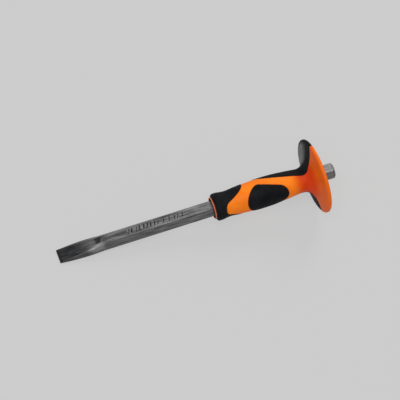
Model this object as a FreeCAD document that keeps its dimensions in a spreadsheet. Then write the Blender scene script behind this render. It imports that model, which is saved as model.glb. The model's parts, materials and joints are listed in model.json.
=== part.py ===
# Cold chisel with a hand guard: a one-piece forged hexagonal steel bar, and a two-material
# grip with a round hand guard that is pressed onto it.
#
# Every sub-part is first built in the tool's own frame: X runs along the bar from the cutting
# edge (0) to the struck end.  The bar has its broad blade faces square to Z.  The grip has its
# finger side towards +Z.  The placements at the end turn both into the pose in which the chisel
# lies on a bench, on its blade and on the rim of its guard, with the origin under its middle.
import FreeCAD, Part
import itertools
import math
import os
import Sketcher

Vector = FreeCAD.Vector
Rotation = FreeCAD.Rotation
Placement = FreeCAD.Placement

DIMENSIONS = [
    # alias, value, meaning
    ("bar_length", 304.8, "overall length, 12 inches"),
    ("bar_flats", 15.875, "hexagon across flats, 5/8 inch"),
    ("end_chamfer_length", 2.6, "turned chamfer on the struck end"),
    ("end_face_radius", 6.6, "flat of the struck end"),
    # Blade sections: place along the bar, half width, half width of the flat, half thickness.
    ("edge_at", 0.0, "cutting edge"),
    ("edge_half_width", 7.9, ""),
    ("edge_flat", 7.75, ""),
    ("edge_half_thick", 0.15, "small land on the edge"),
    ("bevel_at", 2.6, "shoulder of the ground bevels"),
    ("bevel_half_width", 8.2, ""),
    ("bevel_flat", 7.5, ""),
    ("bevel_half_thick", 1.6, ""),
    ("taper_at", 16.0, "blade, first third"),
    ("taper_half_width", 9.45, ""),
    ("taper_flat", 6.8, ""),
    ("taper_half_thick", 2.7, ""),
    ("spread_at", 30.0, "widest place of the forged blade"),
    ("spread_half_width", 9.95, ""),
    ("spread_flat", 6.0, ""),
    ("spread_half_thick", 3.9, ""),
    ("root_at", 40.0, "start of the hollow run-out"),
    ("root_half_width", 9.75, ""),
    ("root_flat", 5.4, ""),
    ("root_half_thick", 5.0, ""),
    ("hollow_at", 45.0, "steep part of the run-out"),
    ("hollow_half_width", 9.4, ""),
    ("hollow_flat", 4.95, ""),
    ("hollow_half_thick", 6.3, ""),
    ("blade_length", 49.0, "where the blade meets the full hexagon"),
    # Grip outline: circles along the sleeve and out over the front of the guard.
    ("front_at", 171.4, "front of the soft collar"),
    ("front_radius", 14.3, ""),
    ("collar_at", 176.0, "crown of the collar"),
    ("collar_radius", 14.4, ""),
    ("neck_at", 184.5, "finger groove"),
    ("neck_radius", 13.35, ""),
    ("rise_at", 194.0, ""),
    ("rise_radius", 13.95, ""),
    ("shoulder_at", 204.0, ""),
    ("shoulder_radius", 14.8, ""),
    ("palm_at", 216.0, ""),
    ("palm_radius", 15.5, ""),
    ("belly_at", 227.0, "thickest place of the sleeve"),
    ("belly_radius", 15.6, ""),
    ("heel_at", 238.0, ""),
    ("heel_radius", 15.3, ""),
    ("waist_at", 250.4, ""),
    ("waist_radius", 14.3, ""),
    ("throat_at", 260.8, "thinnest place before the guard"),
    ("throat_radius", 13.2, ""),
    ("flare_at", 267.4, "start of the sweep into the guard"),
    ("flare_radius", 12.7, ""),
    ("sweep_at", 271.9, ""),
    ("sweep_radius", 13.9, ""),
    ("cone_at", 275.1, ""),
    ("cone_radius", 16.6, ""),
    ("dish_at", 277.7, ""),
    ("dish_radius", 20.8, ""),
    ("face_at", 279.6, ""),
    ("face_radius", 26.0, ""),
    ("outer_at", 280.9, ""),
    ("outer_radius", 32.0, ""),
    ("rim_at", 281.9, "start of the rounded rim"),
    ("rim_radius", 38.9, ""),
    ("guard_radius", 40.5, "hand guard, 81 mm across"),
    ("rim_thickness", 4.0, "rounded rim, front to back"),
    ("guard_lean", 3.4, "degrees the guard leans, finger side to the rear"),
    ("hub_radius", 13.5, "rear hub of the guard"),
    ("hub_height", 8.8, "hub face behind the plane of the rim"),
    ("hub_fillet", 3.0, "rounding of the hub, measured across"),
    ("hub_shoulder", 1.0, "where the hub's rounding starts, below its face"),
    ("hub_crown", 0.25, "middle of the hub's rounding, below its face"),
    ("hub_inner", 6.0, "inside of the guard's back, cleared later by the hexagonal bore"),
    # Core, bore and soft pads.
    ("finger_turn", 60.0, "degrees from the broad blade face to the finger side"),
    ("nose_length", 2.1, "hard ring that stands in front of the collar"),
    ("nose_radius", 11.8, ""),
    ("recess_radius", 10.6, "counterbore around the bar at the nose"),
    ("recess_depth", 8.0, ""),
    ("collar_fillet", 1.6, ""),
    ("pad_depth", 1.8, "pocket depth under the soft pads"),
    ("pad_rise", 0.3, "how far the soft pads stand proud"),
    ("rim_wrap", 2.2, "depth of soft rim around the back of the guard"),
    # Outlines of the soft zones, seen from the finger side (x, y) or from the side (x, z).
    ("tongue_tip_at", 181.6, "hard tongue that reaches into the collar"),
    ("tongue_corner_at", 184.8, ""),
    ("tongue_corner_side", 7.6, ""),
    ("tongue_flank_at", 193.0, ""),
    ("tongue_flank_side", 10.9, ""),
    ("collar_end_at", 204.0, "rear of the collar at the sides"),
    ("collar_back_at", 206.5, "rear of the collar opposite the fingers"),
    ("oval_front_at", 219.8, "centre of the front arc of the finger pad"),
    ("oval_front_radius", 14.8, ""),
    ("oval_rear_at", 239.7, "centre of the rear arc of the finger pad"),
    ("oval_rear_radius", 10.5, ""),
    ("back_tip_at", 213.0, "front point of the back pad"),
    ("back_tip_height", -16.5, ""),
    ("back_low_at", 222.0, ""),
    ("back_low_height", -6.0, ""),
    ("back_mid_at", 231.5, ""),
    ("back_mid_height", -0.8, ""),
    ("back_high_at", 243.0, ""),
    ("back_high_height", 2.6, ""),
    ("back_crest_at", 270.4, ""),
    ("back_crest_height", 7.3, ""),
    ("back_rim_height", 3.5, "edge of the soft half of the guard"),
]

BLADE_SECTIONS = ["edge", "bevel", "taper", "spread", "root", "hollow"]
GRIP_RINGS = ["front", "collar", "neck", "rise", "shoulder", "palm", "belly", "heel",
              "waist", "throat", "flare", "sweep", "cone", "dish", "face", "outer", "rim"]
# The share of the guard's lean that each ring takes. Rings that are not named stand square.
LEAN_SHARE = {"flare": 0.15, "sweep": 0.45, "cone": 0.7, "dish": 0.9, "face": 1, "outer": 1, "rim": 1}
# Half width, half width of the flat and half thickness of the full bar, as expressions.
BAR_CORNER = "sizes.bar_flats / (2 * cos(30))"
FULL_HEXAGON = (BAR_CORNER, "sizes.bar_flats / (4 * cos(30))", "sizes.bar_flats / 2")
# How far the tools that cut a form run past it.
CLEARANCE = 5
# A turn that fixes a placement's axis, before an expression sets its angle.
TINY_TURN = 0.001
OVERLAP_ALLOWED = 0.5

doc = FreeCAD.newDocument("cold_chisel")
sheet = doc.addObject("Spreadsheet::Sheet", "sizes")
for row, (alias, value, meaning) in enumerate(DIMENSIONS, start=1):
    sheet.set("A%d" % row, alias)
    sheet.set("B%d" % row, str(value))
    sheet.set("C%d" % row, meaning)
    sheet.setAlias("B%d" % row, alias)
doc.recompute()


def size(alias):
    return float(getattr(sheet, alias))


def origin_plane(body, role):
    return next(item for item in body.Origin.OriginFeatures if item.Role == role)


def new_sketch(body, name, role):
    sketch = body.newObject("Sketcher::SketchObject", name)
    sketch.AttachmentSupport = [(origin_plane(body, role), "")]
    sketch.MapMode = "FlatFace"
    return sketch


def distance(sketch, axis, element, point, expression, value):
    """Bind one coordinate of a sketch point, measured from the sketch origin."""
    number = sketch.addConstraint(Sketcher.Constraint("Distance" + axis, -1, 1, element, point, value))
    sketch.setExpression("Constraints[%d]" % number, expression)


def evaluate(expression):
    """The number that an expression such as 'sizes.neck_at + 2' gives now."""
    return float(sheet.evalExpression(expression.replace("sizes.", "")))


def outline(sketch, corners, arcs=None):
    """A closed outline through corners, pairs of expressions.

    arcs maps the number of a side to the expressions of a point that its arc passes through.
    """
    arcs = arcs or {}
    points = [Vector(evaluate(x), evaluate(y), 0) for x, y in corners]
    count = len(points)
    ends = []
    for side, start in enumerate(points):
        end = points[(side + 1) % count]
        ends.append((1, 2))
        if side not in arcs:
            sketch.addGeometry(Part.LineSegment(start, end), False)
            continue
        through = Vector(*[evaluate(item) for item in arcs[side]], 0)
        if (through - start).cross(end - start).z < 0:
            # Sketch arcs run anticlockwise, so this one is drawn from its far end.
            start, end = end, start
            ends[side] = (2, 1)
        sketch.addGeometry(Part.Arc(start, through, end), False)
    for side, (first, last) in enumerate(ends):
        after = (side + 1) % count
        sketch.addConstraint(Sketcher.Constraint("Coincident", side, last, after, ends[after][0]))
        distance(sketch, "X", side, first, corners[side][0], points[side].x)
        distance(sketch, "Y", side, first, corners[side][1], points[side].y)
    for side, through in arcs.items():
        spot = Vector(*[evaluate(item) for item in through], 0)
        point = sketch.addGeometry(Part.Point(spot), True)
        sketch.addConstraint(Sketcher.Constraint("PointOnObject", point, 1, side))
        distance(sketch, "X", point, 1, through[0], spot.x)
        distance(sketch, "Y", point, 1, through[1], spot.y)


def hexagon(body, name, place, half_width, half_flat, half_thick):
    """A flattened hexagon square to the bar; the arguments are expressions."""
    sketch = new_sketch(body, name, "YZ_Plane")
    sketch.setExpression("AttachmentOffset.Base.z", place)
    wide, flat, thick = [evaluate(item) for item in (half_width, half_flat, half_thick)]
    corners = [(wide, 0), (flat, thick), (-flat, thick), (-wide, 0), (-flat, -thick), (flat, -thick)]
    for side in range(6):
        start = Vector(*corners[side], 0)
        end = Vector(*corners[(side + 1) % 6], 0)
        sketch.addGeometry(Part.LineSegment(start, end), False)
    for side in range(6):
        sketch.addConstraint(Sketcher.Constraint("Coincident", side, 2, (side + 1) % 6, 1))
    sketch.addConstraint(Sketcher.Constraint("PointOnObject", 0, 1, -1))
    for side in range(3):
        sketch.addConstraint(Sketcher.Constraint("Symmetric", side, 1, side + 3, 1, -1, 1))
    sketch.addConstraint(Sketcher.Constraint("Symmetric", 1, 1, 2, 1, -2))
    distance(sketch, "X", 0, 1, half_width, wide)
    distance(sketch, "X", 1, 1, half_flat, flat)
    distance(sketch, "Y", 1, 1, half_thick, thick)
    return sketch


def ring(body, name, place, radius, lean="0"):
    """A circle on the grip's axis; lean tips its finger side to the rear."""
    sketch = new_sketch(body, name, "YZ_Plane")
    sketch.AttachmentOffset = Placement(Vector(0, 0, evaluate(place)), Rotation(Vector(1, 0, 0), TINY_TURN))
    sketch.addGeometry(Part.Circle(Vector(0, 0, 0), Vector(0, 0, 1), evaluate(radius)), False)
    sketch.addConstraint(Sketcher.Constraint("Coincident", 0, 3, -1, 1))
    number = sketch.addConstraint(Sketcher.Constraint("Radius", 0, evaluate(radius)))
    sketch.setExpression("Constraints[%d]" % number, radius)
    sketch.setExpression("AttachmentOffset.Base.z", place)
    sketch.setExpression("AttachmentOffset.Rotation.Angle", lean)
    return sketch


def blade_section(body, prefix, name):
    """The blade's hexagon at one of its named sections."""
    cells = ["sizes.%s_%s" % (name, item) for item in ("at", "half_width", "flat", "half_thick")]
    return hexagon(body, prefix + name, *cells)


def chisel_bar():
    """Hexagonal bar with a blade forged flat and wide, ground bevels and a turned struck end."""
    body = doc.addObject("PartDesign::Body", "chisel_bar")
    shank_section = hexagon(body, "shank_section", "sizes.blade_length", *FULL_HEXAGON)
    shank = body.newObject("PartDesign::Pad", "shank")
    shank.Profile = shank_section
    shank.setExpression("Length", "sizes.bar_length - sizes.blade_length")
    doc.recompute()

    sections = [blade_section(body, "blade_", name) for name in BLADE_SECTIONS[1:]]
    sections.append(hexagon(body, "blade_end", "sizes.blade_length", *FULL_HEXAGON))
    blade = body.newObject("PartDesign::AdditiveLoft", "blade")
    blade.Profile = sections[0]
    blade.Sections = sections[1:]
    doc.recompute()

    ground = [blade_section(body, "ground_", name) for name in BLADE_SECTIONS[:2]]
    bevels = body.newObject("PartDesign::AdditiveLoft", "bevels")
    bevels.Profile = ground[0]
    bevels.Sections = ground[1:]
    bevels.Ruled = True
    doc.recompute()

    chamfer_profile = new_sketch(body, "chamfer_profile", "XZ_Plane")
    beyond = "%s + 1" % BAR_CORNER
    outline(chamfer_profile, [
        ("sizes.bar_length", "sizes.end_face_radius"),
        ("sizes.bar_length", beyond),
        ("sizes.bar_length - sizes.end_chamfer_length", beyond),
    ])
    chamfer = body.newObject("PartDesign::Groove", "chamfer")
    chamfer.Profile = chamfer_profile
    chamfer.ReferenceAxis = (chamfer_profile, ["H_Axis"])
    chamfer.Angle = 360
    return body


def ring_cells(name, inset):
    """Place and radius of a grip ring, moved inwards along the surface normal by inset."""
    here = GRIP_RINGS.index(name)
    before = GRIP_RINGS[max(here - 1, 0)]
    after = GRIP_RINGS[min(here + 1, len(GRIP_RINGS) - 1)]
    run = size(after + "_at") - size(before + "_at")
    climb = size(after + "_radius") - size(before + "_radius")
    slope = math.atan2(climb, run)
    place = "sizes.%s_at + (%s) * %.4f" % (name, inset, math.sin(slope))
    radius = "sizes.%s_radius - (%s) * %.4f" % (name, inset, math.cos(slope))
    return place, radius


def rounded_back():
    """Half section of the guard's back: rounded rim, shallow cone and raised hub."""
    corners = [
        ("0", "sizes.hub_inner"),
        ("0", "sizes.rim_radius"),
        ("sizes.rim_thickness", "sizes.rim_radius"),
        ("sizes.hub_height - sizes.hub_shoulder", "sizes.hub_radius + sizes.hub_fillet"),
        ("sizes.hub_height", "sizes.hub_radius - sizes.hub_fillet"),
        ("sizes.hub_height", "sizes.hub_inner"),
    ]
    arcs = {
        1: ("sizes.rim_thickness / 2", "sizes.guard_radius"),
        3: ("sizes.hub_height - sizes.hub_crown", "sizes.hub_radius"),
    }
    return corners, arcs


def plain_back():
    """Half section that runs past the guard's back, inside the soft rim."""
    inner = "sizes.hub_inner / 2"
    outer = "sizes.guard_radius - sizes.rim_wrap"
    behind = "sizes.hub_height + 3"
    corners = [
        ("0", inner),
        ("0", outer),
        (behind, outer),
        (behind, inner),
    ]
    return corners, {}


def grip_form(label, inset, back, first=0):
    """Sleeve and guard as one round solid, its front surface moved inwards by inset."""
    body = doc.addObject("PartDesign::Body", label)
    corners, arcs = back
    rings = []
    for name in GRIP_RINGS[first:]:
        place, radius = ring_cells(name, inset)
        if name in ("front", "collar") or (name == "rim" and arcs):
            place = "sizes.%s_at" % name
        if name == "rim":
            radius = corners[1][1]
        lean = "%g * sizes.guard_lean" % LEAN_SHARE.get(name, 0)
        rings.append(ring(body, "%s_%s" % (label, name), place, radius, lean))
    sleeve = body.newObject("PartDesign::AdditiveLoft", label + "_sleeve")
    sleeve.Profile = rings[0]
    sleeve.Sections = rings[1:]

    profile = new_sketch(body, label + "_back_profile", "XZ_Plane")
    profile.AttachmentOffset = Placement(Vector(evaluate(place), 0, 0), Rotation(Vector(0, 0, 1), TINY_TURN))
    profile.setExpression("AttachmentOffset.Base.x", place)
    profile.setExpression("AttachmentOffset.Rotation.Angle", "0 - sizes.guard_lean")
    outline(profile, corners, arcs)
    doc.recompute()
    guard_back = body.newObject("PartDesign::Revolution", label + "_guard_back")
    guard_back.Profile = profile
    guard_back.ReferenceAxis = (profile, ["H_Axis"])
    guard_back.Angle = 360
    doc.recompute()
    return body


def add_round(body, name, place, radius, length):
    """A round boss on the grip's axis, from place towards the struck end."""
    boss = body.newObject("PartDesign::Pad", name)
    boss.Profile = ring(body, name + "_circle", place, radius)
    boss.setExpression("Length", length)
    doc.recompute()


def add_nose(body):
    """The hard ring that carries the front of the collar and stands out in front of it."""
    start = "sizes.front_at - sizes.nose_length"
    add_round(body, body.Name + "_nose", start, "sizes.nose_radius", "sizes.collar_at + 1 - (%s)" % start)


def round_front(body):
    """Round the outer front edge of a form."""
    circumference = 2 * math.pi * (size("front_radius") + size("pad_rise"))
    unrounded = body.Tip
    names = []
    for number, edge in enumerate(body.Shape.Edges, start=1):
        at_front = all(abs(vertex.X - size("front_at")) < 0.01 for vertex in edge.Vertexes)
        if at_front and abs(edge.Length - circumference) < 1:
            names.append("Edge%d" % number)
    rounding = body.newObject("PartDesign::Fillet", body.Name + "_front_rounding")
    rounding.Base = (unrounded, names)
    rounding.setExpression("Radius", "sizes.collar_fillet")
    doc.recompute()


def boolean(kind, name, base, tool):
    """A Part boolean of two document objects: Cut or Common."""
    result = doc.addObject("Part::" + kind, name)
    result.Base = base
    result.Tool = tool
    doc.recompute()
    return result


def collar_zone():
    """The front of the sleeve, less the tongue on the finger side."""
    body = doc.addObject("PartDesign::Body", "collar_zone")
    side = new_sketch(body, "collar_side", "XZ_Plane")
    reach = "sizes.palm_radius + 2"
    outline(side, [
        ("sizes.front_at - 1", "0 - (%s)" % reach),
        ("sizes.collar_back_at", "0 - (%s)" % reach),
        ("sizes.collar_end_at", "0"),
        ("sizes.collar_end_at", reach),
        ("sizes.front_at - 1", reach),
    ])
    block = body.newObject("PartDesign::Pad", "collar_block")
    block.Profile = side
    block.Midplane = True
    block.setExpression("Length", "2 * (%s)" % reach)
    doc.recompute()
    plan = new_sketch(body, "tongue_plan", "XY_Plane")
    flank = [
        ("sizes.tongue_corner_at", "sizes.tongue_corner_side"),
        ("sizes.tongue_flank_at", "sizes.tongue_flank_side"),
        ("sizes.collar_end_at", "sizes.palm_radius"),
        ("sizes.collar_end_at + %d" % CLEARANCE, "sizes.palm_radius"),
    ]
    other_flank = [(along, "0 - " + across) for along, across in flank]
    tip_side = 2 * len(flank) - 1
    outline(plan, other_flank + flank[::-1], {tip_side: ("sizes.tongue_tip_at", "0")})
    tongue = body.newObject("PartDesign::Pocket", "tongue")
    tongue.Profile = plan
    tongue.Reversed = True
    tongue.setExpression("Length", "2 * (%s)" % reach)
    doc.recompute()
    return body


def oval_zone():
    """Egg-shaped outline of the finger pad, two arcs and their common tangents."""
    body = doc.addObject("PartDesign::Body", "oval_zone")
    plan = new_sketch(body, "oval_plan", "XY_Plane")
    spread = "(sizes.oval_rear_at - sizes.oval_front_at)"
    turn = "acos((sizes.oval_front_radius - sizes.oval_rear_radius) / %s)" % spread
    corners = []
    for centre, radius in (("oval_front_at", "oval_front_radius"), ("oval_rear_at", "oval_rear_radius")):
        along = "sizes.%s + sizes.%s * cos(%s)" % (centre, radius, turn)
        across = "sizes.%s * sin(%s)" % (radius, turn)
        corners.append((along, across))
    front, rear = corners
    outline(plan, [
        (front[0], "0 - " + front[1]),
        (rear[0], "0 - " + rear[1]),
        rear,
        front,
    ], {
        1: ("sizes.oval_rear_at + sizes.oval_rear_radius", "0"),
        3: ("sizes.oval_front_at - sizes.oval_front_radius", "0"),
    })
    column = body.newObject("PartDesign::Pad", "oval_column")
    column.Profile = plan
    column.setExpression("Length", "sizes.palm_radius + %d" % CLEARANCE)
    doc.recompute()
    return body


def back_zone():
    """The side away from the fingers, up over the front of the guard to its rim."""
    body = doc.addObject("PartDesign::Body", "back_zone")
    side = new_sketch(body, "back_side", "XZ_Plane")
    reach = "sizes.guard_radius + %d" % CLEARANCE
    below = "0 - (%s)" % reach
    behind = "sizes.rim_at + sizes.hub_height"
    outline(side, [
        ("sizes.back_tip_at", "sizes.back_tip_height"),
        ("sizes.back_mid_at", "sizes.back_mid_height"),
        ("sizes.back_high_at", "sizes.back_high_height"),
        ("sizes.back_crest_at", "sizes.back_crest_height"),
        (behind, "sizes.back_rim_height"),
        (behind, below),
        ("sizes.back_tip_at", below),
    ], {0: ("sizes.back_low_at", "sizes.back_low_height")})
    block = body.newObject("PartDesign::Pad", "back_block")
    block.Profile = side
    block.Midplane = True
    block.setExpression("Length", "2 * (%s)" % reach)
    doc.recompute()
    return body


def bore():
    """The press-fit hexagonal bore and the round recess in front of it."""
    body = doc.addObject("PartDesign::Body", "bore")
    start = "sizes.front_at - sizes.nose_length - 1"
    channel = body.newObject("PartDesign::Pad", "channel")
    channel.Profile = hexagon(body, "channel_section", start, *FULL_HEXAGON)
    channel.setExpression("Length", "sizes.rim_at + sizes.hub_height + %d - (%s)" % (CLEARANCE, start))
    doc.recompute()
    add_round(body, "recess", start, "sizes.recess_radius", "sizes.recess_depth + 1")
    return body


def grip():
    """Hard core with pockets for three soft pads, and the pads that fill them."""
    after_front = 1
    core_form = grip_form("core_form", "0", rounded_back(), after_front)
    add_nose(core_form)
    seat_form = grip_form("seat_form", "sizes.pad_depth", plain_back(), after_front)
    add_nose(seat_form)
    pad_form = grip_form("pad_form", "0 - sizes.pad_rise", rounded_back())
    round_front(pad_form)
    skin = boolean("Cut", "skin", pad_form, seat_form)
    core = core_form
    pads = []
    for label, zone in (("front_collar", collar_zone()), ("finger_pad", oval_zone()),
                        ("back_pad", back_zone())):
        pocket = boolean("Common", label + "_pocket", skin, zone)
        core = boolean("Cut", "core_less_" + label, core, pocket)
        pads.append(boolean("Common", label, skin, zone))
    core = boolean("Cut", "grip_core", core, bore())
    return [core] + pads


def rest_turn():
    """Degrees that the axis climbs when the blade's shoulder and the guard's rim touch a bench."""
    wrap = (size("guard_radius") - size("rim_radius")) ** 2 + (size("rim_thickness") / 2) ** 2
    rim_rounding = wrap / (2 * (size("guard_radius") - size("rim_radius")))
    lean = math.radians(size("guard_lean"))
    turn = math.radians(size("finger_turn"))
    forward = size("guard_radius") * math.sin(lean) * math.cos(turn)
    run = size("rim_at") + size("rim_thickness") / 2 - forward - size("bevel_at")
    drop = size("guard_radius") - rim_rounding - size("bevel_half_thick")
    return math.degrees(math.atan2(drop, run) + math.asin(rim_rounding / math.hypot(run, drop)))


def place_at_rest(bar, grip_parts):
    """Lay the parts on the bench, with the origin under the middle of their box."""
    climb = Rotation(Vector(0, 1, 0), -rest_turn())
    finger_side = Rotation(Vector(1, 0, 0), size("finger_turn"))
    turns = [(bar, climb)] + [(item, climb.multiply(finger_side)) for item in grip_parts]
    laid = []
    for item, turn in turns:
        shape = item.Shape.copy()
        shape.Placement = Placement(Vector(0, 0, 0), turn).multiply(shape.Placement)
        laid.append(shape)
    box = Part.makeCompound(laid).optimalBoundingBox(False, False)
    shift = Vector(-box.Center.x, 0, -box.ZMin)
    for item, turn in turns:
        item.Placement = Placement(shift, turn)
    doc.recompute()
    print("climb %.3f degrees, shift %s" % (rest_turn(), shift))


bar = chisel_bar()
doc.recompute()
grip_parts = grip()
place_at_rest(bar, grip_parts)

for item in doc.Objects:
    if any(word in item.State for word in ("Invalid", "Error")):
        raise RuntimeError("%s failed: %s" % (item.Label, item.getStatusString()))
sub_parts = [bar] + grip_parts
for one, other in itertools.combinations(sub_parts, 2):
    overlap = one.Shape.common(other.Shape).Volume
    if overlap > OVERLAP_ALLOWED:
        raise RuntimeError("%s and %s overlap by %.2f cubic mm" % (one.Label, other.Label, overlap))
os.makedirs("parts", exist_ok=True)
for item in sub_parts:
    if item.Shape.isNull() or not item.Shape.isValid() or len(item.Shape.Solids) != 1:
        raise RuntimeError("%s is not one valid solid" % item.Label)
    item.Shape.exportStep("parts/%s.step" % item.Label)
    box = item.Shape.optimalBoundingBox(False, False)
    print(item.Label, round(item.Shape.Volume), box)
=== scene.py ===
# Looks for a cold chisel with a hand guard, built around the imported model.
#
# Lengths in this script are millimetres in the tool's own frame: "along" runs on the bar's axis
# from the cutting edge to the struck end, and turns go round the axis from the finger side of
# the grip.  tool_point() turns such places into the frame's metres.
import json
import math

import bmesh
import bpy
import numpy as np
from mathutils import Matrix, Vector


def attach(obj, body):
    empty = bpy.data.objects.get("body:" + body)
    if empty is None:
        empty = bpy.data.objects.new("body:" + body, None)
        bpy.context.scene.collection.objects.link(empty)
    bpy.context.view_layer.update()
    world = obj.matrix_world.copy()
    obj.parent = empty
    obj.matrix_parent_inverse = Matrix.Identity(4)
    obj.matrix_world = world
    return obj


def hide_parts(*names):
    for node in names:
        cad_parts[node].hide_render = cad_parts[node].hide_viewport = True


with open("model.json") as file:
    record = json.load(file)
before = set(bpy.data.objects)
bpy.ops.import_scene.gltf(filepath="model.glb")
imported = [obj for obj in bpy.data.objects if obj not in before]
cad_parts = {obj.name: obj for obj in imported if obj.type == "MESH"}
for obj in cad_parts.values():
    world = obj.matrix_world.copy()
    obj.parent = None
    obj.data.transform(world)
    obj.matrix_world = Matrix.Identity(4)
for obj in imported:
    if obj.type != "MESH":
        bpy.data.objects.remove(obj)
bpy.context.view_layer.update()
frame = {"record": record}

MM = 0.001
MOUNTS = {mount["name"]: mount for mount in frame["record"]["mounts"]}
EDGE = np.array(MOUNTS["cutting_edge"]["pos_m"])
AXIS = np.array(MOUNTS["struck_face"]["axis"])
LENGTH = np.linalg.norm(np.array(MOUNTS["struck_face"]["pos_m"]) - EDGE) / MM
# Directions square to the axis: BROAD faces out of the blade's broad face, FINGER out of the grip's
# finger side, and SIDE and ACROSS complete the two pairs.
SIDE = np.array((0.0, 1.0, 0.0))
BROAD = np.cross(AXIS, SIDE)
FINGER_TURN = math.radians(60)
FINGER = math.cos(FINGER_TURN) * BROAD - math.sin(FINGER_TURN) * SIDE
ACROSS = np.cross(FINGER, AXIS)


def tool_point(along, side, broad, side_axis=SIDE, broad_axis=BROAD):
    """Arrays of tool coordinates to an (n, 3) array of places in the frame."""
    along, side, broad = np.broadcast_arrays(along, side, broad)
    place = np.multiply.outer(along, AXIS)
    place = place + np.multiply.outer(side, side_axis) + np.multiply.outer(broad, broad_axis)
    return EDGE + place * MM


def spline(knots, values, where):
    """Natural cubic spline through values at knots."""
    knots = np.asarray(knots, float)
    values = np.asarray(values, float)
    step = np.diff(knots)
    slope = np.diff(values) / step
    count = len(knots)
    system = np.eye(count)
    right = np.zeros(count)
    for k in range(1, count - 1):
        system[k, k - 1:k + 2] = step[k - 1], 2 * (step[k - 1] + step[k]), step[k]
        right[k] = 6 * (slope[k] - slope[k - 1])
    bend = np.linalg.solve(system, right)
    where = np.asarray(where, float)
    k = np.clip(np.searchsorted(knots, where) - 1, 0, count - 2)
    low = where - knots[k]
    high = knots[k + 1] - where
    return (bend[k] * high ** 3 + bend[k + 1] * low ** 3) / (6 * step[k]) \
        + (values[k] / step[k] - bend[k] * step[k] / 6) * high \
        + (values[k + 1] / step[k] - bend[k + 1] * step[k] / 6) * low


def smooth_step(x):
    """Rises smoothly from 0 to 1 while x does."""
    x = np.clip(x, 0, 1)
    return x * x * (3 - 2 * x)


def face_outward(mesh):
    """Wind every face of a closed mesh outward."""
    solid = bmesh.new()
    solid.from_mesh(mesh)
    bmesh.ops.recalc_face_normals(solid, faces=solid.faces)
    solid.to_mesh(mesh)
    solid.free()


def mesh_object(name, places, faces, material, node, sharp_degrees, tints=None):
    """A smooth-shaded piece that rides on the one body and replaces a CAD node.

    Its points keep their tool coordinates in millimetres, and the tints that its material reads.
    A tint gives a value for each of the first points, and the rest get 0.
    """
    mesh = bpy.data.meshes.new(name)
    mesh.from_pydata([tuple(p) for p in places], [], [tuple(int(i) for i in f) for f in faces])
    tool = (places - EDGE) @ np.stack((AXIS, ACROSS, FINGER), axis=1) / MM
    mesh.attributes.new("tool", "FLOAT_VECTOR", "POINT").data.foreach_set("vector", tool.ravel())
    for tint, values in (tints or {}).items():
        values = np.asarray(values, float).ravel()
        values = np.append(values, np.zeros(len(places) - len(values)))
        mesh.attributes.new(tint, "FLOAT", "POINT").data.foreach_set("value", values)
    mesh.validate()
    face_outward(mesh)
    mesh.polygons.foreach_set("use_smooth", [True] * len(mesh.polygons))
    mesh.set_sharp_from_angle(angle=math.radians(sharp_degrees))
    mesh.materials.append(material)
    piece = bpy.data.objects.new(name, mesh)
    bpy.context.scene.collection.objects.link(piece)
    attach(piece, "root")
    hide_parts(node)
    return piece


def grid_faces(rows, columns, close_rows=False, close_columns=True, first=0):
    """Quads of a grid whose points are numbered row by row."""
    faces = []
    for row in range(rows if close_rows else rows - 1):
        after = (row + 1) % rows
        for column in range(columns if close_columns else columns - 1):
            right = (column + 1) % columns
            faces.append((first + row * columns + column, first + after * columns + column,
                          first + after * columns + right, first + row * columns + right))
    return faces


# ---------------------------------------------------------------- the steel bar

BAR_FLATS = 15.875
BAR_CORNER = BAR_FLATS / math.sqrt(3)
# Blade sections: along, half width, half width of the broad face, half thickness.
BLADE = np.array([
    (2.6, 8.2, 7.5, 1.6),
    (16, 9.45, 6.8, 2.7),
    (30, 9.95, 6.0, 3.9),
    (40, 9.75, 5.4, 5.0),
    (45, 9.4, 4.95, 6.3),
    (49, BAR_CORNER, BAR_CORNER / 2, BAR_FLATS / 2),
])
EDGE_SECTION = (7.9, 7.75, 0.15)
RUN_OUT_START, RUN_OUT_FULL = 25, 40
RUN_OUT_SOFTNESS = 3.0
# Rounding of the bar's long corners, at places along it.
ROUNDING_AT = (0, 2.6, 20, 49)
ROUNDING = (0.05, 0.3, 0.6, 0.65)
CORNER_POINTS = 5
END_CHAMFER = 2.6
END_FACE_RADIUS = 6.6
END_CROWN = 0.15
END_RINGS = (0.985, 0.93, 0.8, 0.6, 0.4, 0.2)
STAMPED_COLUMNS, PLAIN_COLUMNS = 30, 5


def bar_section(along):
    """Half width, half width of the broad face and half thickness of the bar."""
    bevel_end, blade_end = BLADE[0, 0], BLADE[-1, 0]
    if along <= bevel_end:
        share = along / bevel_end
        return np.array(EDGE_SECTION) * (1 - share) + BLADE[0, 1:] * share
    # The forged run-out meets the bar in a soft edge.
    run_out = smooth_step((along - RUN_OUT_START) / (RUN_OUT_FULL - RUN_OUT_START))
    reach = RUN_OUT_SOFTNESS * run_out
    near = np.clip(along + reach * np.linspace(-1, 1, 9), bevel_end, blade_end)
    return np.array([spline(BLADE[:, 0], BLADE[:, k], near).mean() for k in (1, 2, 3)])


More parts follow.
